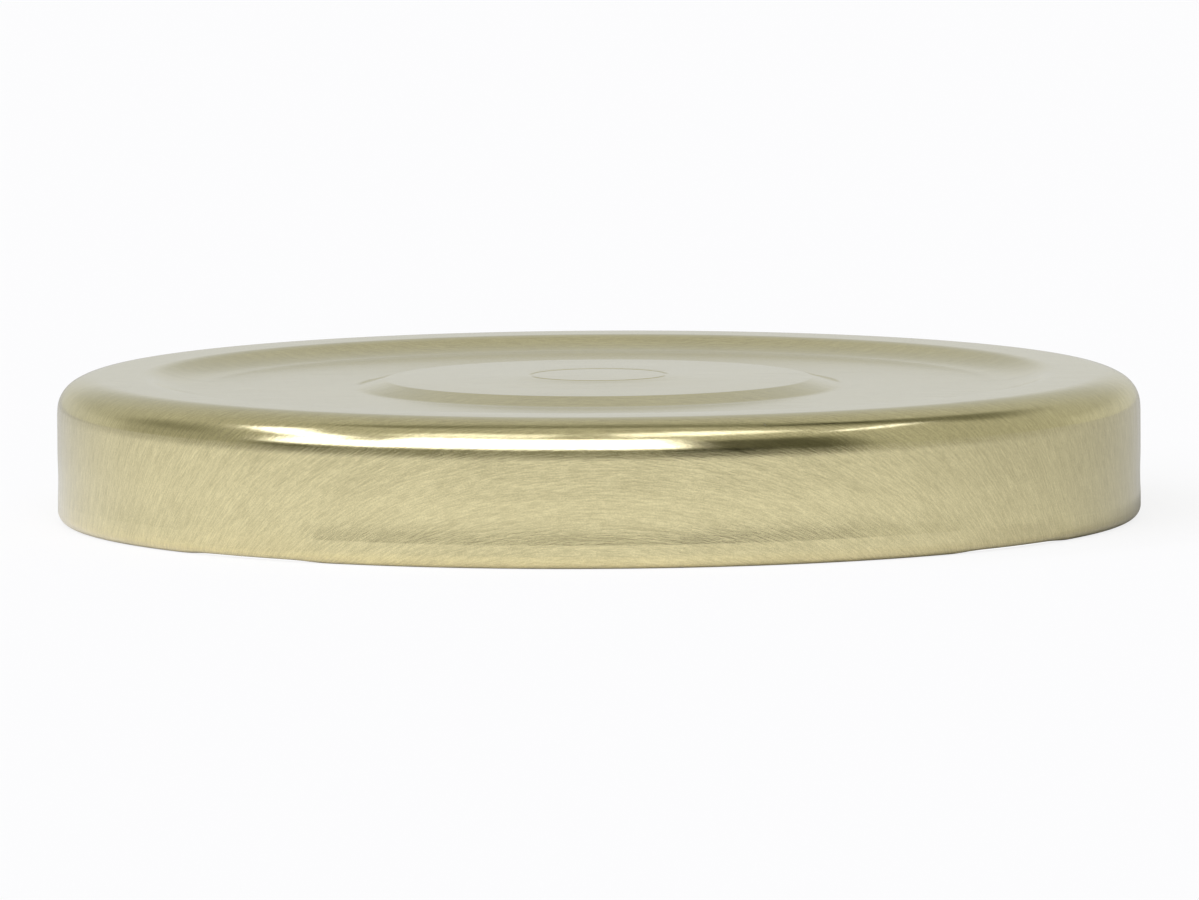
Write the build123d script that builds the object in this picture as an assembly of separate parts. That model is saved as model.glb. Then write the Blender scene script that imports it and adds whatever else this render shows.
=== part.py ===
from build123d import *

import math
import os

# A lug cap for a 70 mm twist-off jar, in millimetres.
# It stands on its open end, with the origin on its axis at the level of the rolled bottom edge.
# The shell is one pressed sheet: a stepped panel, a rounded shoulder, a skirt and a curled edge that is
# flattened inwards into four lugs. The sealing compound is a ring in the channel under the rim.
# Radii and heights are those of the sheet's outer side, unless a comment says otherwise. A bend is a few
# straight runs whose corners lie on its arc, which keeps the faces round the axis plain and few.

# Overall
cap_radius = 36.6
cap_height = 9.8
sheet_thickness = 0.2

# Shoulder, a wide arc off the rim's flat top and a tighter one down to the skirt
crown_radius = 3.7
crown_turn = 29.6
crown_runs = 2
corner_radius = 2.14
corner_runs = 3

# Rim's flat top, and the recess of the panel inside it
rim_flat_width = 3.14
recess_slope_width = 1.93
recess_depth = 0.9

# Safety button in the middle of the panel, which springs up when a jar has lost its vacuum
button_foot_radius = 16.45
button_slope_width = 2.05
button_height = 0.56
button_dome_height = 0.08
centre_disc_radius = 4.5
centre_slope_width = 3.5
centre_slope_height = 0.12

# Skirt, straight below the shoulder and then drawn in a little, down to the rolled edge
skirt_straight_length = 3.0
skirt_draw = 0.1
roll_top = 2.6

# Curl of the bottom edge, by the radius inside it. It stops short of the skirt's inner side
curl_inside_radius = 0.6
curl_inset = 0.03
curl_edge_clearance = 0.12

# Lugs, where the curl is flattened inwards and the skirt is pressed in a little
lug_count = 4
lug_arc = 20.0
lug_flat_arc = 10.0
lug_lift = 0.12
lug_press = 0.12
lug_roll_inside = 0.35
lug_fold_inside = 0.18
lug_rise = 8.0
lug_return = 0.3

# Runs of the rolled edge: from the skirt to the lowest point, and from there to the raw edge
roll_runs = 3
fold_runs = 4

# Sealing ring: how far it reaches in past the rim's flat top, and how deep it lies below it
gasket_inner_reach = 1.5
gasket_edge = 0.15
gasket_bed_width = 2.1
gasket_bed_depth = 1.0
gasket_skirt_depth = 2.3
gasket_surface_runs = 4

neck_radius = cap_radius - skirt_draw
curl_radius = curl_inside_radius + sheet_thickness
lug_roll_radius = lug_roll_inside + sheet_thickness
lug_fold_radius = lug_fold_inside + sheet_thickness

# Radii and levels of the shoulder and panel
crown_to_corner = crown_radius - corner_radius
rim_outer_radius = cap_radius - corner_radius - crown_to_corner * math.sin(math.radians(crown_turn))
rim_inner_radius = rim_outer_radius - rim_flat_width
floor_level = cap_height - recess_depth
button_edge_level = floor_level + button_height
dome_level = button_edge_level + button_dome_height
centre_level = dome_level + centre_slope_height

# Turn of the curl that leaves its clearance, and the length of its sheet, which makes the lugs too
curl_gap_cosine = (curl_inside_radius - curl_edge_clearance) / curl_radius
curl_turn = 360 - math.degrees(math.acos(curl_gap_cosine))
roll_length = (curl_radius - sheet_thickness / 2) * math.radians(curl_turn)


def blend(start, end, share):
    """Value between start and end."""
    return start + (end - start) * share


def unit(heading):
    """Unit vector of a heading in degrees."""
    return Vector(math.cos(math.radians(heading)), math.sin(math.radians(heading)))


def bend(centre, radius, first, last, runs):
    """Corners of a bend that turns clockwise about centre, from one heading to another."""
    headings = [blend(first, last, corner / runs) for corner in range(runs + 1)]
    return [centre + unit(heading + 90) * radius for heading in headings]


def inner_corner(before, corner, after):
    """Corner of the sheet's inner side, which lies to the right of a path through its outer side."""
    normals = []
    for run in (corner - before, after - corner):
        normals.append(Vector(run.Y, -run.X).normalized())
    across = normals[0] + normals[1]
    return corner + across * (sheet_thickness / (1 + normals[0].dot(normals[1])))


def sheet_outline(outer, first_side, last_side):
    """Closed outline of the sheet, from its outer corners and the way across it at both ends."""
    inner = [outer[0] + first_side * sheet_thickness]
    inner += [inner_corner(*outer[place - 1 : place + 2]) for place in range(1, len(outer) - 1)]
    inner.append(outer[-1] + last_side * sheet_thickness)
    return Wire(Polyline(*outer, *reversed(inner), close=True).edges())


def shell_section():
    """Closed outline of the panel, shoulder and skirt."""
    crown_centre = Vector(rim_outer_radius, cap_height - crown_radius)
    corner_centre = crown_centre + unit(90 - crown_turn) * crown_to_corner
    panel = [
        Vector(0, centre_level),
        Vector(centre_disc_radius, centre_level),
        Vector(centre_disc_radius + centre_slope_width, dome_level),
        Vector(button_foot_radius - button_slope_width, button_edge_level),
        Vector(button_foot_radius, floor_level),
        Vector(rim_inner_radius - recess_slope_width, floor_level),
        Vector(rim_inner_radius, cap_height),
    ]
    crown = bend(crown_centre, crown_radius, 0, -crown_turn, crown_runs)
    corner = bend(corner_centre, corner_radius, -crown_turn, -90, corner_runs)
    skirt = [
        Vector(cap_radius, corner_centre.Y - skirt_straight_length),
        Vector(neck_radius, roll_top),
    ]
    return sheet_outline(panel + crown + corner[1:] + skirt, unit(-90), unit(180))


def curl_corners():
    """Outer corners of the rolled edge where it is a round curl."""
    centre = Vector(cap_radius - curl_inset - curl_radius, curl_radius)
    to_lowest = bend(centre, curl_radius, -90, -180, roll_runs)
    to_raw_edge = bend(centre, curl_radius, -180, -90 - curl_turn, fold_runs + 2)
    return to_lowest + to_raw_edge[1:]


def lug_corners():
    """Outer corners of the rolled edge where it is a lug: a roll inwards, a long run and a fold back."""
    middle = sheet_thickness / 2
    rise_heading = -180 - lug_rise
    roll_arc = (lug_roll_radius - middle) * math.radians(90 + lug_rise)
    fold_arc = (lug_fold_radius - middle) * math.radians(180 - lug_rise)
    lug_run = roll_length - roll_arc - fold_arc - lug_return

    roll_centre = Vector(neck_radius - lug_press - lug_roll_radius, lug_lift + lug_roll_radius)
    smaller = unit(rise_heading + 90) * (lug_roll_radius - lug_fold_radius)
    fold_centre = roll_centre + smaller + unit(rise_heading) * lug_run
    roll = bend(roll_centre, lug_roll_radius, -90, rise_heading, roll_runs)
    fold = bend(fold_centre, lug_fold_radius, rise_heading, -360, fold_runs)
    return roll + fold + [fold[-1] + unit(0) * lug_return]


def roll_section(flattening):
    """Closed outline of the rolled edge, from the round curl at 0 to a lug at 1."""
    corners = [Vector(neck_radius, roll_top)]
    for curl_corner, lug_corner in zip(curl_corners(), lug_corners()):
        corners.append(blend(curl_corner, lug_corner, flattening))
    raw_run = corners[-1] - corners[-2]
    return sheet_outline(corners, unit(180), Vector(raw_run.Y, -raw_run.X).normalized())


def upright(section, angle=0):
    """A section drawn as radius and height, stood up at an angle round the axis."""
    return Rot(0, 0, angle) * (Plane.XZ * section)


def sector(flattening, first, last):
    """Rolled edge with one section throughout, from one angle to another."""
    return revolve(upright(Face(roll_section(flattening)), first), Axis.Z, last - first).solid()


def run_in(curl_angle, lug_angle):
    """Rolled edge between the round curl and a lug, where the sheet is flattened more and more."""
    shares = (0, 0.5, 1)
    sections = [upright(roll_section(share), blend(curl_angle, lug_angle, share)) for share in shares]
    return Solid.make_loft(sections, ruled=True)


def cap_shell():
    """The pressed shell, as one solid."""
    lug_end = lug_arc / 2
    flat_end = lug_flat_arc / 2
    one_share = [
        run_in(-lug_end, -flat_end),
        sector(1, -flat_end, flat_end),
        run_in(lug_end, flat_end),
        sector(0, lug_end, 360 / lug_count - lug_end),
    ]
    places = [Rot(0, 0, number * 360 / lug_count) for number in range(lug_count)]
    rolled_edge = [place * piece for place in places for piece in one_share]
    panel_and_skirt = revolve(upright(Face(shell_section())), Axis.Z).solid()
    return panel_and_skirt.fuse(*rolled_edge, glue=True, tol=0.0001).solid()


def gasket_surface(inner_edge, skirt_edge):
    """Corners of the compound's free surface, which hangs in a smooth curve between its two edges."""
    bed_level = cap_height - gasket_bed_depth
    pulls = (Vector(inner_edge.X + gasket_bed_width, bed_level), Vector(skirt_edge.X, bed_level))
    curve = Bezier(inner_edge, *pulls, skirt_edge)
    return [curve @ (corner / gasket_surface_runs) for corner in range(gasket_surface_runs + 1)]


def sealing_gasket():
    """The ring of sealing compound, which fills the channel up to the sheet's inner side."""
    inner_radius = rim_inner_radius - gasket_inner_reach
    slope_level = cap_height - recess_depth * gasket_inner_reach / recess_slope_width
    inner_edge = Vector(inner_radius, slope_level - sheet_thickness - gasket_edge)
    skirt_edge = Vector(cap_radius - sheet_thickness - gasket_edge, cap_height - gasket_skirt_depth)
    # The rest of the outline lies outside the sheet, which cuts it off
    outside_radius = cap_radius + sheet_thickness
    outside_level = cap_height + sheet_thickness
    outside = [
        (outside_radius, skirt_edge.Y),
        (outside_radius, outside_level),
        (inner_radius, outside_level),
    ]
    outline = Polyline(*gasket_surface(inner_edge, skirt_edge), *outside, close=True)
    filler = Face(Wire(outline.edges()))
    under_sheet = (filler - Face(shell_section())).faces().sort_by(Axis.Y)[0]
    return revolve(upright(under_sheet), Axis.Z).solid()


if __name__ == "__main__":
    os.makedirs("parts", exist_ok=True)
    export_step(cap_shell(), "parts/cap_shell.step")
    export_step(sealing_gasket(), "parts/sealing_gasket.step")
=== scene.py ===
"""Looks of a pressed lug cap with its sealing ring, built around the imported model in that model's frame.

The shell is drawn as its section: one sheet, followed from the middle of the panel to its raw edge.
Sections are in millimetres, as radius and height, and the meshes that they make are in metres.
"""

import logging
import math
from dataclasses import dataclass, field
from enum import Enum

import bpy
import numpy as np
from mathutils import Matrix, Vector


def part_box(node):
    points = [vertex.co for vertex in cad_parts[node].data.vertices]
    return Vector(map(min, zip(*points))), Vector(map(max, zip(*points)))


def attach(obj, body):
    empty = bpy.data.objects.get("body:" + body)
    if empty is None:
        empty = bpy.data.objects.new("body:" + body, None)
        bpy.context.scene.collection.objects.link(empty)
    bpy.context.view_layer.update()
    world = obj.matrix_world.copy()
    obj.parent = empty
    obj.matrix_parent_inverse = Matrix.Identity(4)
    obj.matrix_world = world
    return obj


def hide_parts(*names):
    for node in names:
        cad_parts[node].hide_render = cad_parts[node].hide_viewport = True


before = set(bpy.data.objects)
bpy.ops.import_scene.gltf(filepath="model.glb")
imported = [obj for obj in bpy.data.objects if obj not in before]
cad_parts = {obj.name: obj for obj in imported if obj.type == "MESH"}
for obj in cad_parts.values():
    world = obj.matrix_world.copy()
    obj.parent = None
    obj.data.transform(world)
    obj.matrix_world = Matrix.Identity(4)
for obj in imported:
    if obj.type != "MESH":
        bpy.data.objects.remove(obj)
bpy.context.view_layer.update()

MM = 0.001
SHEET_ATTRIBUTE = "flat_sheet_place"

log = logging.getLogger("lug_cap")


class Side(Enum):
    """The parts of the sheet's skin that have a finish of their own."""

    OUTSIDE = 0
    INSIDE = 1
    RAW_EDGE = 2


@dataclass
class Trace:
    """A line through a section: its points, its headings in radians and the sheet's length up to each point."""

    points: np.ndarray
    headings: np.ndarray
    lengths: np.ndarray

    def offset(self, distance: float) -> np.ndarray:
        """Points at a distance to the left of the line."""
        left = np.stack([-np.sin(self.headings), np.cos(self.headings)], axis=1)
        return self.points + left * distance


@dataclass(frozen=True)
class Corner:
    """A corner of a section before it is rounded: its place and the radius of its bend."""

    radius: float
    height: float
    bend: float = 0.0


def rounded_line(corners: list[Corner], step: float) -> Trace:
    """Follows straight runs through corners, with each corner rounded to its bend.

    Args:
        corners: the corners in order; the first and last are the ends and have no bend.
        step: the largest turn between two points of a bend, in radians.

    Returns:
        The line with its headings, which change only along the bends.
    """
    places = np.array([(corner.radius, corner.height) for corner in corners])
    runs = np.diff(places, axis=0)
    headings = np.unwrap(np.arctan2(runs[:, 1], runs[:, 0]))
    points, turned = [places[0]], [headings[0]]
    for index in range(1, len(corners) - 1):
        before, after = headings[index - 1], headings[index]
        turn = after - before
        bend = corners[index].bend
        start = places[index] - heading_vector(before) * bend * math.tan(abs(turn) / 2)
        side = math.copysign(1.0, turn)
        centre = start + heading_vector(before + side * math.pi / 2) * bend
        count = max(3, math.ceil(abs(turn) / step))
        for heading in np.linspace(before, after, count + 1):
            points.append(centre - heading_vector(heading + side * math.pi / 2) * bend)
            turned.append(heading)
    points.append(places[-1])
    turned.append(headings[-1])
    points = np.array(points)
    lengths = np.concatenate([[0.0], np.cumsum(np.linalg.norm(np.diff(points, axis=0), axis=1))])
    return Trace(points, np.array(turned), lengths)


def heading_vector(heading: float) -> np.ndarray:
    """Unit vector of a heading in radians."""
    return np.array([math.cos(heading), math.sin(heading)])


def smooth_share(value: np.ndarray | float, start: float, end: float) -> np.ndarray | float:
    """0 at start and 1 at end, with an easy run in and out."""
    share = np.clip((value - start) / (end - start), 0.0, 1.0)
    return share * share * (3 - 2 * share)


@dataclass
class RolledEdge:
    """The curled bottom edge, which is flattened inwards into the lugs. Sizes are in millimetres."""

    sheet: float = 0.2
    start_height: float = 1.35
    curl_inside: float = 0.6
    curl_turn: float = math.radians(306.9)
    lug_lift: float = 0.12
    lug_roll_inside: float = 0.35
    lug_fold_inside: float = 0.18
    lug_rise: float = math.radians(8)
    lug_return: float = 0.3
    lug_count: int = 4
    lug_half_arc: float = math.radians(10)
    flat_half_arc: float = math.radians(5)
    rows: int = 42
    fine_steps: int = 16

    def flattening(self, angle: float) -> float:
        """How far the edge is flattened at an angle round the axis, from 0, a round curl, to 1, a lug."""
        pitch = math.tau / self.lug_count
        away = abs((angle + pitch / 2) % pitch - pitch / 2)
        return float(1 - smooth_share(away, self.flat_half_arc, self.lug_half_arc))

    def curl_headings(self) -> tuple[list[float], list[float]]:
        """Lengths along the sheet and headings there, where the edge is a round curl."""
        radius = self.curl_inside + self.sheet / 2
        straight = self.start_height - self.curl_inside - self.sheet
        lengths = [0.0, straight, straight + radius * self.curl_turn]
        return lengths, [-math.pi / 2, -math.pi / 2, -math.pi / 2 - self.curl_turn]

    def lug_headings(self) -> tuple[list[float], list[float]]:
        """Lengths along the sheet and headings there, where the edge is a lug."""
        roll = self.lug_roll_inside + self.sheet / 2
        fold = self.lug_fold_inside + self.sheet / 2
        total = self.curl_headings()[0][-1]
        straight = self.start_height - self.lug_lift - self.lug_roll_inside - self.sheet
        rolled = straight + roll * (math.pi / 2 + self.lug_rise)
        folded = total - self.lug_return
        fold_start = folded - fold * (math.pi - self.lug_rise)
        rise = -math.pi - self.lug_rise
        lengths = [0.0, straight, rolled, fold_start, folded, total]
        return lengths, [-math.pi / 2, -math.pi / 2, rise, rise, -math.tau, -math.tau]

    def trace(self, start: np.ndarray, flattening: float) -> Trace:
        """The middle of the sheet round the edge, by bending it as far as the flattening says.

        Args:
            start: the middle of the sheet where the edge begins, as radius and height.
            flattening: from 0, a round curl, to 1, a lug.

        Returns:
            The line from the start to the raw edge.
        """
        curl_lengths, curl = self.curl_headings()
        lug_lengths, lug = self.lug_headings()
        lengths = np.linspace(0.0, curl_lengths[-1], self.rows * self.fine_steps + 1)
        headings = np.interp(lengths, curl_lengths, curl) * (1 - flattening)
        headings = headings + np.interp(lengths, lug_lengths, lug) * flattening
        middle = (headings[1:] + headings[:-1]) / 2
        moves = np.stack([np.cos(middle), np.sin(middle)], axis=1) * np.diff(lengths)[:, None]
        points = start + np.concatenate([[(0.0, 0.0)], np.cumsum(moves, axis=0)])
        kept = slice(None, None, self.fine_steps)
        return Trace(points[kept], headings[kept], lengths[kept])


class Wiring:
    """A node tree that is being put together, with short calls for its nodes and their links."""

    def __init__(self, tree: bpy.types.NodeTree) -> None:
        """Starts on a tree that may hold nodes already."""
        self.tree = tree

    def add(self, kind: str, inputs: dict[str | int, object] | None = None, **settings: object) -> bpy.types.Node:
        """Adds a node.

        Args:
            kind: the node's type, without the words ShaderNode.
            inputs: for each input, a value that it holds or an output that feeds it.
            settings: the node's own settings.

        Returns:
            The node.
        """
        node = self.tree.nodes.new("ShaderNode" + kind)
        for name, value in settings.items():
            setattr(node, name, value)
        for name, value in (inputs or {}).items():
            self.feed(node.inputs[name], value)
        return node

    def feed(self, socket: bpy.types.NodeSocket, value: object) -> None:
        """Links an output to a socket, or sets the socket's own value."""
        if isinstance(value, bpy.types.NodeSocket):
            self.tree.links.new(value, socket)
        else:
            socket.default_value = value

    def math(self, operation: str, *values: object) -> bpy.types.NodeSocket:
        """Output of a Math node."""
        return self.add("Math", dict(enumerate(values)), operation=operation).outputs[0]

    def vector(self, operation: str, *values: object) -> bpy.types.Node:
        """A Vector Math node."""
        return self.add("VectorMath", dict(enumerate(values)), operation=operation)

    def ease(self, value: object, start: object, end: object, first: float, last: float) -> bpy.types.NodeSocket:
        """Output that goes smoothly from first to last while the value goes from start to end."""
        inputs = {"Value": value, "From Min": start, "From Max": end, "To Min": first, "To Max": last}
        return self.add("MapRange", inputs, interpolation_type="SMOOTHSTEP").outputs["Result"]

    def mix(self, share: object, first: object, second: object) -> bpy.types.NodeSocket:
        """Colour output between two colours."""
        node = self.add("Mix", data_type="RGBA")
        for socket, value in zip((node.inputs[0], node.inputs[6], node.inputs[7]), (share, first, second)):
            self.feed(socket, value)
        return node.outputs[2]

    def noise(self, place: object, scale: float, detail: float, roughness: float) -> bpy.types.NodeSocket:
        """Output of a Noise Texture, from about 0.2 to 0.8 round a middle of 0.5."""
        inputs = {"Vector": place, "Scale": scale, "Detail": detail, "Roughness": roughness}
        return self.add("TexNoise", inputs).outputs["Fac"]


class EffectGroup:
    """A shader effect that several finishes use, kept once as a node group with named inputs and outputs."""

    def __init__(self, name: str, inputs: dict[str, str], outputs: dict[str, str]) -> None:
        """Makes the empty group.

        Args:
            name: the group's name.
            inputs: for each input, the word that ends its socket type, such as Float.
            outputs: the same for each output.
        """
        self.tree = bpy.data.node_groups.new(name, "ShaderNodeTree")
        for label, kind in inputs.items():
            self.tree.interface.new_socket(name=label, in_out="INPUT", socket_type="NodeSocket" + kind)
        for label, kind in outputs.items():
            self.tree.interface.new_socket(name=label, in_out="OUTPUT", socket_type="NodeSocket" + kind)
        self.wiring = Wiring(self.tree)
        self.given = self.tree.nodes.new("NodeGroupInput").outputs
        self.result = self.tree.nodes.new("NodeGroupOutput").inputs

    def put_out(self, name: str, value: object) -> None:
        """Feeds one of the group's outputs."""
        self.wiring.feed(self.result[name], value)

    def use(self, wiring: Wiring, inputs: dict[str, object]) -> bpy.types.bpy_prop_collection:
        """Places the group in a tree.

        Args:
            wiring: the tree that gets it.
            inputs: for each of the group's inputs, its value here.

        Returns:
            The outputs of the placed group.
        """
        node = wiring.add("Group", node_tree=self.tree)
        for name, value in inputs.items():
            wiring.feed(node.inputs[name], value)
        return node.outputs


def rolled_grain_group() -> EffectGroup:
    """Fine streaks that the mill's rolls leave in sheet, along one direction of the flat sheet."""
    inputs = {"Place": "Vector", "Direction": "Float", "Per Millimetre": "Float", "Stretch": "Float"}
    group = EffectGroup("rolled_grain", inputs, {"Streaks": "Float", "Bands": "Float"})
    wiring, given = group.wiring, group.given
    turned = wiring.add(
        "VectorRotate", {"Vector": given["Place"], "Angle": given["Direction"]}, rotation_type="Z_AXIS"
    ).outputs[0]
    parts = wiring.add("SeparateXYZ", {0: turned}).outputs
    along = wiring.math("DIVIDE", parts["X"], given["Stretch"])
    across = wiring.add("CombineXYZ", {"X": along, "Y": parts["Y"]}).outputs[0]
    fine = wiring.add(
        "VectorMath", {0: across, "Scale": given["Per Millimetre"]}, operation="SCALE"
    ).outputs[0]
    streaks = wiring.noise(fine, 1.0, 3.0, 0.65)
    group.put_out("Streaks", wiring.ease(streaks, 0.28, 0.72, 0.0, 1.0))
    bands = wiring.noise(fine, 0.21, 2.0, 0.5)
    group.put_out("Bands", wiring.ease(bands, 0.3, 0.7, 0.0, 1.0))
    return group


def small_marks_group() -> EffectGroup:
    """Sparse specks and nicks from handling, as a mask."""
    inputs = {"Place": "Vector", "Spacing": "Float", "Size": "Float", "Share": "Float"}
    group = EffectGroup("small_marks", inputs, {"Marks": "Float"})
    wiring, given = group.wiring, group.given
    per_millimetre = wiring.math("DIVIDE", 1.0, given["Spacing"])
    scaled = wiring.add("VectorMath", {0: given["Place"], "Scale": per_millimetre}, operation="SCALE")
    bent = wiring.add("TexNoise", {"Vector": scaled.outputs[0], "Scale": 9.0, "Detail": 1.0})
    bent_by = wiring.add("VectorMath", {0: bent.outputs["Color"], "Scale": 0.16}, operation="SCALE")
    place = wiring.vector("ADD", scaled.outputs[0], bent_by.outputs[0]).outputs[0]
    cells = wiring.add("TexVoronoi", {"Vector": place, "Scale": 1.0, "Randomness": 1.0})
    chosen = wiring.math("LESS_THAN", wiring.add("SeparateColor", {0: cells.outputs["Color"]}).outputs[0],
                         given["Share"])
    reach = wiring.math("DIVIDE", given["Size"], given["Spacing"])
    spot = wiring.ease(cells.outputs["Distance"], 0.0, reach, 1.0, 0.0)
    group.put_out("Marks", wiring.math("MULTIPLY", spot, chosen))
    return group


def cloud_group() -> EffectGroup:
    """Slow uneven patches, for colour, shine or level."""
    group = EffectGroup("uneven_patches", {"Place": "Vector", "Patch Size": "Float"}, {"Patches": "Float"})
    wiring, given = group.wiring, group.given
    scale = wiring.math("DIVIDE", 1.0, given["Patch Size"])
    place = wiring.add("VectorMath", {0: given["Place"], "Scale": scale}, operation="SCALE").outputs[0]
    group.put_out("Patches", wiring.ease(wiring.noise(place, 1.0, 3.0, 0.5), 0.3, 0.7, 0.0, 1.0))
    return group


def shared_groups() -> dict[str, EffectGroup]:
    """Every effect that the finishes share, built on first use."""
    if not SHARED:
        SHARED["grain"] = rolled_grain_group()
        SHARED["marks"] = small_marks_group()
        SHARED["patches"] = cloud_group()
    return SHARED


SHARED: dict[str, EffectGroup] = {}


def new_material(name: str) -> tuple[bpy.types.Material, Wiring, bpy.types.Node]:
    """Makes an empty material.

    Args:
        name: the material's name.

    Returns:
        The material, its wiring and its Principled BSDF, which feeds the output.
    """
    material = bpy.data.materials.new(name)
    material.use_nodes = True
    material.node_tree.nodes.clear()
    wiring = Wiring(material.node_tree)
    shader = wiring.add("BsdfPrincipled")
    wiring.add("OutputMaterial", {"Surface": shader.outputs[0]})
    return material, wiring, shader


@dataclass(frozen=True)
class TinplateFinish:
    """Clear gold lacquer over bright rolled tinplate. Lengths are in millimetres."""

    name: str
    light: tuple[float, float, float, float] = (0.88, 0.795, 0.455, 1.0)
    dark: tuple[float, float, float, float] = (0.56, 0.50, 0.275, 1.0)
    mark_colour: tuple[float, float, float, float] = (0.30, 0.27, 0.19, 1.0)
    roughness: float = 0.14
    drawn_roughness: float = 0.02
    roughness_spread: float = 0.05
    lacquer: float = 0.9
    drawn_lacquer: float = 0.15
    lacquer_roughness: float = 0.12
    grain_direction: float = math.radians(-40)
    grain_per_millimetre: float = 7.5
    grain_stretch: float = 8.0
    grain_height: float = 0.0014
    grit_per_millimetre: float = 11.0
    wave_size: float = 2.4
    wave_height: float = 0.010
    drawn_from: float = 34.0
    drawn_full: float = 37.0
    mark_spacing: float = 6.0
    mark_size: float = 0.22
    mark_share: float = 0.12

    def material(self) -> bpy.types.Material:
        """Builds the material."""
        groups = shared_groups()
        material, wiring, shader = new_material(self.name)
        place = wiring.add("Attribute", attribute_name=SHEET_ATTRIBUTE).outputs["Vector"]
        solid_place = wiring.add("VectorMath", {
            0: wiring.add("TexCoord").outputs["Object"], "Scale": 1 / MM}, operation="SCALE").outputs[0]
        grain = groups["grain"].use(wiring, {
            "Place": place,
            "Direction": self.grain_direction,
            "Per Millimetre": self.grain_per_millimetre,
            "Stretch": self.grain_stretch,
        })
        patches = groups["patches"].use(wiring, {"Place": solid_place, "Patch Size": 7.0})["Patches"]
        marks = groups["marks"].use(wiring, {
            "Place": solid_place, "Spacing": self.mark_spacing, "Size": self.mark_size,
            "Share": self.mark_share})["Marks"]
        grit = wiring.noise(solid_place, self.grit_per_millimetre, 1.0, 0.5)
        grit = wiring.ease(grit, 0.3, 0.7, 0.0, 1.0)
        tone = wiring.math("MULTIPLY_ADD", grain["Bands"], 0.12, wiring.math("MULTIPLY", grain["Streaks"], 0.5))
        tone = wiring.math("MULTIPLY_ADD", patches, 0.1, tone)
        tone = wiring.math("MULTIPLY_ADD", grit, 0.28, tone)
        colour = wiring.mix(tone, self.dark, self.light)
        wiring.feed(shader.inputs["Base Color"], wiring.mix(marks, colour, self.mark_colour))
        drawn = wiring.ease(wiring.vector("LENGTH", place).outputs["Value"], self.drawn_from, self.drawn_full,
                            0.0, 1.0)
        rough = wiring.math("MULTIPLY_ADD", grain["Bands"], -self.roughness_spread,
                            self.roughness + self.roughness_spread / 2)
        rough = wiring.math("MULTIPLY_ADD", drawn, self.drawn_roughness, rough)
        rough = wiring.math("MULTIPLY_ADD", marks, 0.2, rough)
        wiring.feed(shader.inputs["Roughness"], rough)
        shader.inputs["Metallic"].default_value = 1.0
        thinned = self.drawn_lacquer - self.lacquer
        wiring.feed(shader.inputs["Coat Weight"], wiring.math("MULTIPLY_ADD", drawn, thinned, self.lacquer))
        shader.inputs["Coat Roughness"].default_value = self.lacquer_roughness
        shader.inputs["Coat IOR"].default_value = 1.5
        wave = wiring.noise(solid_place, 1 / self.wave_size, 1.0, 0.4)
        wave_height = wiring.math("MULTIPLY", wiring.math("MULTIPLY", wave, drawn), self.wave_height)
        height = wiring.math("MULTIPLY_ADD", grain["Streaks"], self.grain_height, wave_height)
        height = wiring.math("MULTIPLY_ADD", marks, -0.004, height)
        bump = wiring.add("Bump", {"Strength": 1.0, "Distance": MM, "Height": height})
        wiring.feed(shader.inputs["Normal"], bump.outputs["Normal"])
        return material


@dataclass(frozen=True)
class RawEdgeFinish:
    """The cut edge of the sheet, where the bare steel shows."""

    name: str = "cut_steel_edge"
    light: tuple[float, float, float, float] = (0.56, 0.55, 0.53, 1.0)
    dark: tuple[float, float, float, float] = (0.36, 0.34, 0.31, 1.0)
    roughness: float = 0.42

    def material(self) -> bpy.types.Material:
        """Builds the material."""
        material, wiring, shader = new_material(self.name)
        place = wiring.add("VectorMath", {
            0: wiring.add("TexCoord").outputs["Object"], "Scale": 1 / MM}, operation="SCALE").outputs[0]
        patches = shared_groups()["patches"].use(wiring, {"Place": place, "Patch Size": 0.5})["Patches"]
        wiring.feed(shader.inputs["Base Color"], wiring.mix(patches, self.dark, self.light))
        wiring.feed(shader.inputs["Roughness"], wiring.math("MULTIPLY_ADD", patches, 0.15, self.roughness))
        shader.inputs["Metallic"].default_value = 1.0
        return material


@dataclass(frozen=True)
class CompoundFinish:
    """Cured sealing compound: off white, smooth and satin, with a faint mottle and a few pinholes."""

    name: str = "sealing_compound"
    light: tuple[float, float, float, float] = (0.82, 0.80, 0.74, 1.0)
    dark: tuple[float, float, float, float] = (0.74, 0.715, 0.64, 1.0)
    roughness: float = 0.42

    def material(self) -> bpy.types.Material:
        """Builds the material."""
        groups = shared_groups()
        material, wiring, shader = new_material(self.name)
        place = wiring.add("VectorMath", {
            0: wiring.add("TexCoord").outputs["Object"], "Scale": 1 / MM}, operation="SCALE").outputs[0]
        patches = groups["patches"].use(wiring, {"Place": place, "Patch Size": 2.6})["Patches"]
        fine = groups["patches"].use(wiring, {"Place": place, "Patch Size": 0.35})["Patches"]
        pits = groups["marks"].use(wiring, {"Place": place, "Spacing": 2.4, "Size": 0.14, "Share": 0.2})["Marks"]
        colour = wiring.mix(patches, self.dark, self.light)
        wiring.feed(shader.inputs["Base Color"], wiring.mix(pits, colour, self.dark))
        wiring.feed(shader.inputs["Roughness"], wiring.math("MULTIPLY_ADD", fine, 0.12, self.roughness))
        height = wiring.math("MULTIPLY_ADD", patches, 0.03, wiring.math("MULTIPLY", fine, 0.004))
        height = wiring.math("MULTIPLY_ADD", pits, -0.03, height)
        bump = wiring.add("Bump", {"Strength": 1.0, "Distance": MM, "Height": height})
        wiring.feed(shader.inputs["Normal"], bump.outputs["Normal"])
        return material


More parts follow.
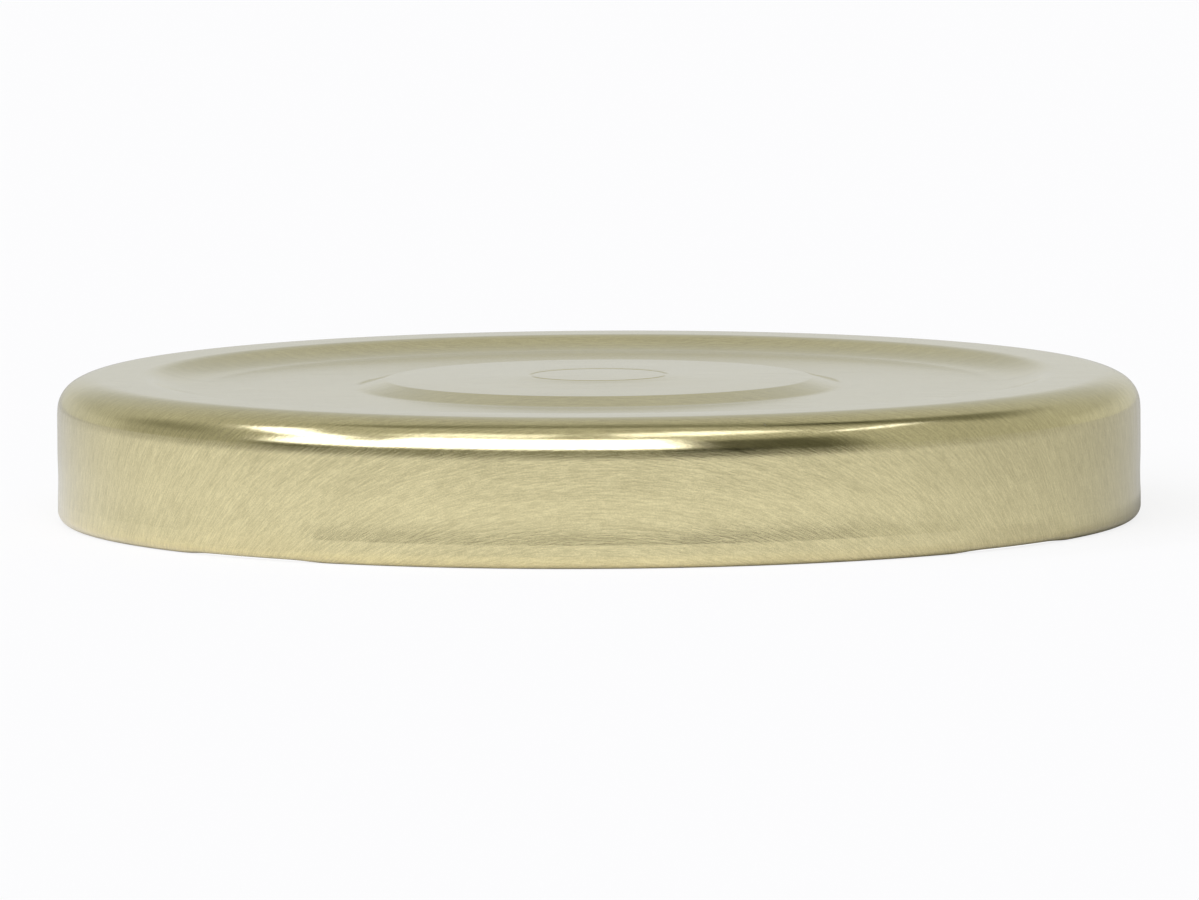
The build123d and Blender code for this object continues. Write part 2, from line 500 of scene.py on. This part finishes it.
@dataclass
class CapShell:
    """The pressed shell: a stepped panel, a rounded shoulder, a skirt and a rolled edge, all one sheet."""

    radius: float
    height: float
    sheet: float = 0.2
    disc_radius: float = 4.45
    disc_drop: float = 0.14
    groove_radius: float = 4.6
    groove_drop: float = 0.20
    groove_outer_radius: float = 4.78
    groove_outer_drop: float = 0.145
    groove_bend: float = 0.06
    disc_slope_radius: float = 6.0
    disc_slope_drop: float = 0.22
    disc_slope_bend: float = 30.0
    dome_radius: float = 9.5
    dome_drop: float = 0.30
    dome_bend: float = 100.0
    button_radius: float = 14.4
    button_edge_drop: float = 0.34
    button_edge_bend: float = 0.8
    button_foot_radius: float = 16.45
    button_foot_bend: float = 2.5
    recess_depth: float = 0.9
    recess_foot_radius: float = 28.32
    recess_foot_bend: float = 8.0
    recess_edge_bend: float = 2.5
    rim_inner_radius: float = 30.55
    crown_bend: float = 3.7
    crown_turn: float = math.radians(29.6)
    corner_bend: float = 2.14
    corner_arc: float = 1.98
    skirt_lean: float = math.radians(3.5)
    skirt_top_bend: float = 6.0
    skirt_straight: float = 3.0
    neck_draw: float = 0.05
    neck_height: float = 2.85
    bulge_inset: float = 0.0
    neck_bend: float = 20.0
    lug_press: float = 0.14
    press_height: float = 2.9
    press_foot: float = 0.7
    bend_step: float = math.radians(3.2)
    column_step: float = math.radians(1.5)
    fine_column_step: float = math.radians(0.5)
    edge: RolledEdge = field(default_factory=RolledEdge)

    def panel_corners(self) -> list[Corner]:
        """Corners of the outer side, from the middle of the panel to where the edge's curl begins."""
        top = self.height
        shoulder = (self.crown_bend - self.corner_bend) * math.sin(self.crown_turn)
        rim_outer = self.radius - self.corner_bend - shoulder
        crown_corner = rim_outer + self.crown_bend * math.tan(self.crown_turn / 2)
        fall = (self.radius - crown_corner) * math.tan(self.crown_turn)
        skirt_top = top - fall - self.corner_bend * math.tan((math.pi / 2 - self.crown_turn) / 2)
        bulge = self.radius - self.bulge_inset
        lean_start = skirt_top - self.skirt_top_bend * math.tan(self.skirt_lean / 2)
        return [
            Corner(0.0, top - self.disc_drop),
            Corner(self.disc_radius, top - self.disc_drop, self.groove_bend),
            Corner(self.groove_radius, top - self.groove_drop, self.groove_bend),
            Corner(self.groove_outer_radius, top - self.groove_outer_drop, self.groove_bend),
            Corner(self.disc_slope_radius, top - self.disc_slope_drop, self.disc_slope_bend),
            Corner(self.dome_radius, top - self.dome_drop, self.dome_bend),
            Corner(self.button_radius, top - self.button_edge_drop, self.button_edge_bend),
            Corner(self.button_foot_radius, top - self.recess_depth, self.button_foot_bend),
            Corner(self.recess_foot_radius, top - self.recess_depth, self.recess_foot_bend),
            Corner(self.rim_inner_radius, top, self.recess_edge_bend),
            Corner(crown_corner, top, self.crown_bend),
            Corner(*self.shoulder_corner(crown_corner, lean_start), self.corner_arc),
            Corner(self.radius, lean_start, self.skirt_top_bend),
            Corner(self.radius, skirt_top - self.skirt_straight, self.neck_bend),
            Corner(self.radius - self.neck_draw, self.neck_height, self.neck_bend),
            Corner(bulge, self.edge.start_height + 0.25, 2.0),
            Corner(bulge, self.edge.start_height),
        ]

    def shoulder_corner(self, crown_corner: float, lean_start: float) -> tuple[float, float]:
        """Where the crown's slope meets the skirt's leaning top, before that corner is rounded.

        Args:
            crown_corner: radius at which the crown's slope leaves the rim's level.
            lean_start: height at which the skirt begins to lean inwards.

        Returns:
            The corner's radius and height.
        """
        slope, lean = math.tan(self.crown_turn), math.tan(self.skirt_lean)
        inset = (self.height - lean_start - (self.radius - crown_corner) * slope) * lean / (1 - slope * lean)
        return self.radius - inset, lean_start + inset / lean

    def column_angles(self) -> np.ndarray:
        """Angles of the mesh's columns round the axis, closer together through the lugs."""
        pitch = math.tau / self.edge.lug_count
        lug = self.edge.lug_half_arc
        fine = np.arange(-lug, lug, self.fine_column_step)
        plain_count = round((pitch - 2 * lug) / self.column_step)
        plain = np.linspace(lug, pitch - lug, plain_count, endpoint=False)
        one = np.concatenate([fine, plain])
        return np.concatenate([one + pitch * number for number in range(self.edge.lug_count)])

    def column(self, panel: Trace, angle: float) -> tuple[np.ndarray, np.ndarray, np.ndarray]:
        """One section of the sheet at an angle round the axis.

        Args:
            panel: the outer side from the middle to the rolled edge.
            angle: the angle of the section.

        Returns:
            The outer points, the inner points and the sheet's length at both.
        """
        flattening = self.edge.flattening(angle)
        start = panel.points[-1] - np.array([self.sheet / 2, 0.0])
        edge = self.edge.trace(start, flattening)
        outer = np.concatenate([panel.points, edge.offset(self.sheet / 2)[1:]])
        inner = np.concatenate([panel.offset(-self.sheet), edge.offset(-self.sheet / 2)[1:]])
        lengths = np.concatenate([panel.lengths, panel.lengths[-1] + edge.lengths[1:]])
        for side in (outer, inner):
            low = 1 - smooth_share(side[:, 1], self.press_foot, self.press_height)
            on_skirt = side[:, 0] > self.rim_inner_radius
            side[:, 0] -= self.lug_press * flattening * low * on_skirt
        return outer, inner, lengths

    def build(self) -> bpy.types.Object:
        """Makes the shell's mesh."""
        panel = rounded_line(self.panel_corners(), self.bend_step)
        angles = self.column_angles()
        columns = [self.column(panel, angle) for angle in angles]
        rings, lengths = [], []
        sides = []
        row_count = len(columns[0][0])
        for row in range(1, row_count):
            rings.append(np.array([outer[row] for outer, _, _ in columns]))
            lengths.append(columns[0][2][row])
            sides.append(Side.OUTSIDE)
        sides[-1] = Side.RAW_EDGE
        for row in range(row_count - 1, 0, -1):
            rings.append(np.array([inner[row] for _, inner, _ in columns]))
            lengths.append(columns[0][2][row])
            sides.append(Side.INSIDE)
        top = panel.points[0][1]
        poles = (top, top - self.sheet)
        return ring_mesh("cap_shell_pressed", rings, lengths, sides, poles, angles)

    def dress(self, piece: bpy.types.Object) -> None:
        """Gives the shell its lacquer outside and inside and its raw edge, and its place in the frame."""
        outside = TinplateFinish("gold_lacquer_outside")
        inside = TinplateFinish("gold_lacquer_inside", roughness=0.24, grain_height=0.0008)
        for finish in (outside, inside, RawEdgeFinish()):
            piece.data.materials.append(finish.material())
        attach(piece, "root")
        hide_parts("cap_shell")



def ring_mesh(
    name: str,
    rings: list[np.ndarray],
    lengths: list[float],
    sides: list[Side],
    poles: tuple[float, float] | None,
    angles: np.ndarray,
) -> bpy.types.Object:
    """Joins rings round the axis into one closed mesh.

    Args:
        name: the piece's name.
        rings: for each row, the radius and height of its points in millimetres.
        lengths: for each row, how far it lies along the flat sheet from the middle.
        sides: for each row, the side that the faces between it and the next belong to.
        poles: heights on the axis where the first and last ring close, or None where they join each other.
        angles: the angle of each column.

    Returns:
        The object, with the place of each point on the flat sheet kept as an attribute.
    """
    around = np.stack([np.cos(angles), np.sin(angles)], axis=1)
    count = len(angles)
    points = [np.column_stack([around * ring[:, :1], ring[:, 1:]]) for ring in rings]
    flat = [np.column_stack([around * length, np.zeros(count)]) for length in lengths]
    if poles is not None:
        points += [np.array([[0.0, 0.0, pole]]) for pole in poles]
        flat += [np.zeros((1, 3))] * 2
    ids = np.arange(len(rings) * count).reshape(len(rings), count)
    faces: list[tuple[int, ...]] = []
    materials: list[int] = []
    last = len(rings) - 1 if poles is not None else len(rings)
    for row in range(last):
        here, there = ids[row], ids[(row + 1) % len(rings)]
        quads = np.stack([here, there, np.roll(there, -1), np.roll(here, -1)], axis=1)
        faces += [tuple(quad) for quad in quads.tolist()]
        materials += [sides[row].value] * count
    if poles is not None:
        first_pole = len(rings) * count
        for pole, ring, side in ((first_pole, ids[0], sides[0]), (first_pole + 1, ids[-1], sides[-1])):
            fan = np.stack([np.full(count, pole), ring, np.roll(ring, -1)], axis=1)
            if pole != first_pole:
                fan = fan[:, ::-1]
            faces += [tuple(face) for face in fan.tolist()]
            materials += [side.value] * count
    mesh = bpy.data.meshes.new(name)
    mesh.from_pydata(np.concatenate(points) * MM, [], faces)
    mesh.polygons.foreach_set("material_index", materials)
    mesh.polygons.foreach_set("use_smooth", [True] * len(faces))
    place = mesh.attributes.new(SHEET_ATTRIBUTE, "FLOAT_VECTOR", "POINT")
    place.data.foreach_set("vector", np.concatenate(flat).astype(np.float32).ravel())
    mesh.validate()
    mesh.update()
    piece = bpy.data.objects.new(name, mesh)
    bpy.context.scene.collection.objects.link(piece)
    return piece


@dataclass
class SealingRing:
    """The ring of sealing compound in the channel under the rim, flowed in and cured."""

    shell: CapShell
    inner_reach: float = 1.5
    clearance: float = 0.01
    edge: float = 0.15
    bed_width: float = 2.1
    bed_depth: float = 1.0
    skirt_depth: float = 2.3
    surface_rows: int = 26
    column_step: float = math.radians(1.5)

    def seat(self) -> np.ndarray:
        """The side that lies against the sheet, from the recess's slope round to the skirt."""
        shell = self.shell
        inner_radius = shell.rim_inner_radius - self.inner_reach
        under = rounded_line(shell.panel_corners(), shell.bend_step).offset(-shell.sheet - self.clearance)
        inside = int(np.argmax(under[:, 0] > inner_radius))
        outside = int(np.argmax((under[:, 0] > inner_radius) & (under[:, 1] < self.skirt_height())))
        before, after = under[inside - 1], under[inside]
        first = before + (after - before) * (inner_radius - before[0]) / (after[0] - before[0])
        last = np.array([under[outside - 1][0], self.skirt_height() + self.edge])
        return np.concatenate([[first], under[inside:outside], [last]])

    def skirt_height(self) -> float:
        """Height of the compound's lower edge on the skirt."""
        return self.shell.height - self.skirt_depth

    def free_surface(self, skirt_edge: np.ndarray, inner_edge: np.ndarray) -> np.ndarray:
        """The side that meets the glass, as a smooth hanging curve between its two edges."""
        bed = self.shell.height - self.bed_depth
        skirt_pull = np.array([skirt_edge[0], bed])
        inner_pull = np.array([inner_edge[0] + self.bed_width, bed])
        share = np.linspace(0, 1, self.surface_rows)[:, None]
        back = 1 - share
        outer_half = back**3 * skirt_edge + 3 * back**2 * share * skirt_pull
        return outer_half + 3 * back * share**2 * inner_pull + share**3 * inner_edge

    def build(self) -> bpy.types.Object:
        """Makes the ring's mesh."""
        seat = self.seat()
        skirt_edge = seat[-1] - np.array([self.edge, self.edge])
        inner_edge = seat[0] - np.array([0.0, self.edge])
        section = np.concatenate([seat, self.free_surface(skirt_edge, inner_edge)])
        angles = np.arange(0, math.tau - self.column_step / 2, self.column_step)
        rings = [np.tile(point, (len(angles), 1)) for point in section]
        lengths = [float(point[0]) for point in section]
        return ring_mesh("sealing_ring", rings, lengths, [Side.OUTSIDE] * len(rings), None, angles)

    def dress(self, piece: bpy.types.Object) -> None:
        """Gives the ring its compound, and its place in the frame."""
        piece.data.materials.append(CompoundFinish().material())
        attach(piece, "root")
        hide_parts("sealing_gasket")


@dataclass(frozen=True)
class Viewpoint:
    """Where the camera stands, in degrees round the cap and above the table, and what it frames."""

    azimuth: float = 40.0
    elevation: float = 5.224
    roll: float = 0.337
    distance: float = 1.098
    lens: float = 487.6
    sensor: float = 36.0
    frame_width: int = 1199
    frame_height: int = 900
    middle_across: float = 599.0
    middle_down: float = 444.7

    def place(self, middle: Vector) -> bpy.types.Object:
        """Makes the camera, so that the cap's middle falls on its pixel of the frame.

        Args:
            middle: the middle of the cap, in metres.

        Returns:
            The camera, which the scene then uses.
        """
        round_axis, up_angle = math.radians(self.azimuth), math.radians(self.elevation)
        back = Vector((
            math.sin(round_axis) * math.cos(up_angle),
            -math.cos(round_axis) * math.cos(up_angle),
            math.sin(up_angle),
        ))
        right = Vector((math.cos(round_axis), math.sin(round_axis), 0.0))
        up = back.cross(right)
        turn = math.radians(self.roll)
        camera_right = right * math.cos(turn) - up * math.sin(turn)
        camera_up = right * math.sin(turn) + up * math.cos(turn)
        pixel = self.distance / (self.lens / self.sensor * self.frame_width)
        across = (self.frame_width / 2 - self.middle_across) * pixel
        down = (self.frame_height / 2 - self.middle_down) * pixel
        aim = middle + camera_right * across - camera_up * down
        data = bpy.data.cameras.new("camera")
        data.lens = self.lens
        data.sensor_width = self.sensor
        data.clip_start = 0.01
        data.clip_end = 50.0
        camera = bpy.data.objects.new("camera", data)
        turned = Matrix((camera_right, camera_up, back)).transposed().to_4x4()
        camera.matrix_world = Matrix.Translation(aim + back * self.distance) @ turned
        bpy.context.scene.collection.objects.link(camera)
        bpy.context.scene.camera = camera
        return camera


@dataclass(frozen=True)
class LightPanel:
    """A soft panel of the light tent, in degrees round from the camera, to its right, and above the table."""

    azimuth: float
    half_width: float
    elevation: float
    half_height: float
    level: float
    slope: float = 0.0
    soft: float = 4.0


@dataclass(frozen=True)
class LightTent:
    """The plain soft tent round the cap: an even shell of light, with brighter panels and darker flags."""

    front: float
    even_level: float = 0.52
    lowest_level: float = 0.04
    warmth: float = 1.15
    panels: tuple[LightPanel, ...] = (
        LightPanel(azimuth=-17, half_width=35, elevation=34, half_height=19, level=2.8, soft=2.5),
        LightPanel(azimuth=-62, half_width=14, elevation=23, half_height=10, level=2.4, soft=2),
        LightPanel(azimuth=-85, half_width=21, elevation=43.5, half_height=5.5, level=2.6, slope=-0.32, soft=1.5),
        LightPanel(azimuth=-42, half_width=24, elevation=65, half_height=8, level=1.1, slope=0.1, soft=5),
        LightPanel(azimuth=42, half_width=34, elevation=71, half_height=8, level=1.5, soft=5),
        LightPanel(azimuth=91, half_width=18, elevation=53.5, half_height=1.3, level=2.4, soft=1.2),
        LightPanel(azimuth=-22, half_width=56, elevation=4, half_height=6, level=-0.3, soft=2.5),
        LightPanel(azimuth=-92, half_width=34, elevation=14, half_height=16, level=-0.12, soft=10),
        LightPanel(azimuth=-112, half_width=14, elevation=28, half_height=9, level=-0.16, soft=8),
        LightPanel(azimuth=38, half_width=20, elevation=17, half_height=26, level=-0.42, soft=8),
        LightPanel(azimuth=128, half_width=16, elevation=52, half_height=15, level=-0.33, soft=8),
        LightPanel(azimuth=180, half_width=50, elevation=64, half_height=6, level=-0.28, soft=4),
        LightPanel(azimuth=180, half_width=60, elevation=5, half_height=8, level=0.12, soft=6),
    )

    def panel_group(self) -> EffectGroup:
        """One panel's level in a direction."""
        labels = ("Azimuth", "Elevation", "Middle", "Half Width", "Height", "Half Height", "Slope", "Soft", "Level")
        group = EffectGroup("tent_panel", {label: "Float" for label in labels}, {"Light": "Float"})
        wiring, given = group.wiring, group.given
        aside = wiring.math("WRAP", wiring.math("SUBTRACT", given["Azimuth"], given["Middle"]), 180.0, -180.0)
        lean = wiring.math("MULTIPLY_ADD", aside, given["Slope"], given["Height"])
        above = wiring.math("ABSOLUTE", wiring.math("SUBTRACT", given["Elevation"], lean))
        reach = (("Half Width", wiring.math("ABSOLUTE", aside)), ("Half Height", above))
        light = given["Level"]
        for label, away in reach:
            start = wiring.math("SUBTRACT", given[label], given["Soft"])
            end = wiring.math("ADD", given[label], given["Soft"])
            light = wiring.math("MULTIPLY", light, wiring.ease(away, start, end, 1.0, 0.0))
        group.put_out("Light", light)
        return group

    def build(self) -> bpy.types.World:
        """Makes the world: the tent for light and reflections, and plain white where the camera sees past the floor."""
        world = bpy.data.worlds.new("light_tent")
        world.use_nodes = True
        world.node_tree.nodes.clear()
        wiring = Wiring(world.node_tree)
        direction = wiring.add("TexCoord").outputs["Generated"]
        toward = (math.sin(self.front), -math.cos(self.front), 0.0)
        right = (math.cos(self.front), math.sin(self.front), 0.0)
        across = wiring.vector("DOT_PRODUCT", direction, right).outputs["Value"]
        ahead = wiring.vector("DOT_PRODUCT", direction, toward).outputs["Value"]
        azimuth = wiring.math("DEGREES", wiring.math("ARCTAN2", across, ahead))
        upward = wiring.add("SeparateXYZ", {0: direction}).outputs["Z"]
        elevation = wiring.math("DEGREES", wiring.math("ARCSINE", upward))
        group = self.panel_group()
        level: object = self.even_level
        for panel in self.panels:
            light = group.use(wiring, {
                "Azimuth": azimuth,
                "Elevation": elevation,
                "Middle": panel.azimuth,
                "Half Width": panel.half_width,
                "Height": panel.elevation,
                "Half Height": panel.half_height,
                "Slope": panel.slope,
                "Soft": panel.soft,
                "Level": panel.level,
            })["Light"]
            level = wiring.math("ADD", light, level)
        level = wiring.math("MAXIMUM", level, self.lowest_level)
        warm = wiring.math("POWER", level, self.warmth)
        grey = wiring.add("CombineColor", {0: level, 1: level, 2: warm}).outputs[0]
        tent = wiring.add("Background", {"Color": grey, "Strength": 1.0}).outputs[0]
        white = wiring.add("Background", {"Color": (1, 1, 1, 1), "Strength": 1.0}).outputs[0]
        seen = wiring.add("LightPath").outputs["Is Camera Ray"]
        shown = wiring.add("MixShader", {0: seen, 1: tent, 2: white}).outputs[0]
        wiring.add("OutputWorld", {"Surface": shown})
        bpy.context.scene.world = world
        return world


@dataclass(frozen=True)
class Floor:
    """The pale table. It is open under the cap, so that light reaches the inside when seen from below."""

    opening: float
    front: float
    reach: float = 12.0
    columns: int = 96
    colour: tuple[float, float, float, float] = (0.90, 0.90, 0.89, 1.0)
    # Painted shade: darker floor colours that only reflections see, beside the bright arc and far from the cap.
    reflected_side_shade: tuple[float, float, float, float] = (0.37, 0.37, 0.36, 1.0)
    reflected_far_shade: tuple[float, float, float, float] = (0.36, 0.36, 0.35, 1.0)
    white_for_camera: float = 0.82
    white_for_reflections: float = 0.3
    reflected_bright_azimuth: float = math.radians(-28)
    reflected_bright_half_arc: float = math.radians(95)
    reflected_bright_soft: float = math.radians(60)
    contact: float = 0.036
    lift_from: float = 0.046
    far_from: float = 0.14
    far_full: float = 0.28

    def build(self) -> bpy.types.Object:
        """Makes the floor as a flat ring of faces."""
        angles = np.linspace(0, math.tau, self.columns, endpoint=False)
        around = np.stack([np.cos(angles), np.sin(angles), np.zeros(self.columns)], axis=1)
        points = np.concatenate([around * self.opening, around * self.reach])
        inner = np.arange(self.columns)
        outer = inner + self.columns
        quads = np.stack([inner, outer, np.roll(outer, -1), np.roll(inner, -1)], axis=1)
        mesh = bpy.data.meshes.new("floor")
        mesh.from_pydata(points, [], [tuple(quad) for quad in quads.tolist()])
        mesh.materials.append(self.material())
        floor = bpy.data.objects.new("floor", mesh)
        bpy.context.scene.collection.objects.link(floor)
        return floor

    def material(self) -> bpy.types.Material:
        """White paper, lifted to white for the camera and in reflections, and clear from below. Only in reflections it
        is painted darker beside the bright arc and far from the cap, as painted shade.
        """
        material = bpy.data.materials.new("white_table")
        material.use_nodes = True
        material.node_tree.nodes.clear()
        wiring = Wiring(material.node_tree)
        ray = wiring.add("LightPath").outputs
        mirrored = wiring.math("MAXIMUM", ray["Is Glossy Ray"], ray["Is Transmission Ray"])
        place = wiring.add("SeparateXYZ", {0: wiring.add("TexCoord").outputs["Object"]}).outputs
        round_axis = wiring.math("ARCTAN2", place["X"], wiring.math("MULTIPLY", place["Y"], -1.0))
        aside = wiring.math("SUBTRACT", round_axis, self.front + self.reflected_bright_azimuth)
        aside = wiring.math("ABSOLUTE", wiring.math("WRAP", aside, math.pi, -math.pi))
        away = wiring.vector("LENGTH", wiring.add("TexCoord").outputs["Object"]).outputs["Value"]
        first, last = self.reflected_bright_half_arc - self.reflected_bright_soft, self.reflected_bright_half_arc + self.reflected_bright_soft
        side_shade = wiring.ease(aside, first, last, 0.0, 1.0)
        far = wiring.ease(away, self.far_from, self.far_full, 0.0, 1.0)
        lift = wiring.ease(away, self.contact, self.lift_from, 0.0, self.white_for_reflections)
        lift = wiring.math("MULTIPLY", mirrored, lift)
        lift = wiring.math("MULTIPLY_ADD", ray["Is Camera Ray"], self.white_for_camera, lift)
        # Painted shade in reflections: the floor turns darker at the sides and far away for reflecting rays only, and
        # the camera sees it evenly white.
        colour = wiring.mix(wiring.math("MULTIPLY", side_shade, mirrored), self.colour, self.reflected_side_shade)
        colour = wiring.mix(wiring.math("MULTIPLY", far, mirrored), colour, self.reflected_far_shade)
        paper = wiring.add("BsdfDiffuse", {"Color": colour}).outputs[0]
        white = wiring.add("Emission", {"Color": (1, 1, 1, 1), "Strength": 1.0}).outputs[0]
        top = wiring.add("MixShader", {0: lift, 1: paper, 2: white}).outputs[0]
        clear = wiring.add("BsdfTransparent").outputs[0]
        below = wiring.add("NewGeometry").outputs["Backfacing"]
        both = wiring.add("MixShader", {0: below, 1: top, 2: clear}).outputs[0]
        wiring.add("OutputMaterial", {"Surface": both})
        return material


def main() -> None:
    """Builds the cap's pieces, the table and the light, and reports each piece."""
    logging.basicConfig(level=logging.INFO, format="%(message)s")
    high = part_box("cap_shell")[1]
    shell = CapShell(radius=high.x / MM, height=high.z / MM)
    ring = SealingRing(shell)
    for part in (shell, ring):
        piece = part.build()
        part.dress(piece)
        log.info("%s: %d faces", piece.name, len(piece.data.polygons))
    viewpoint = Viewpoint()
    viewpoint.place(Vector((0, 0, high.z / 2)))
    front = math.radians(viewpoint.azimuth)
    Floor(opening=high.x - 1.0 * MM, front=front).build()
    LightTent(front=front).build()
    bpy.context.scene.view_settings.view_transform = "Standard"


if __name__ == "__main__":
    main()
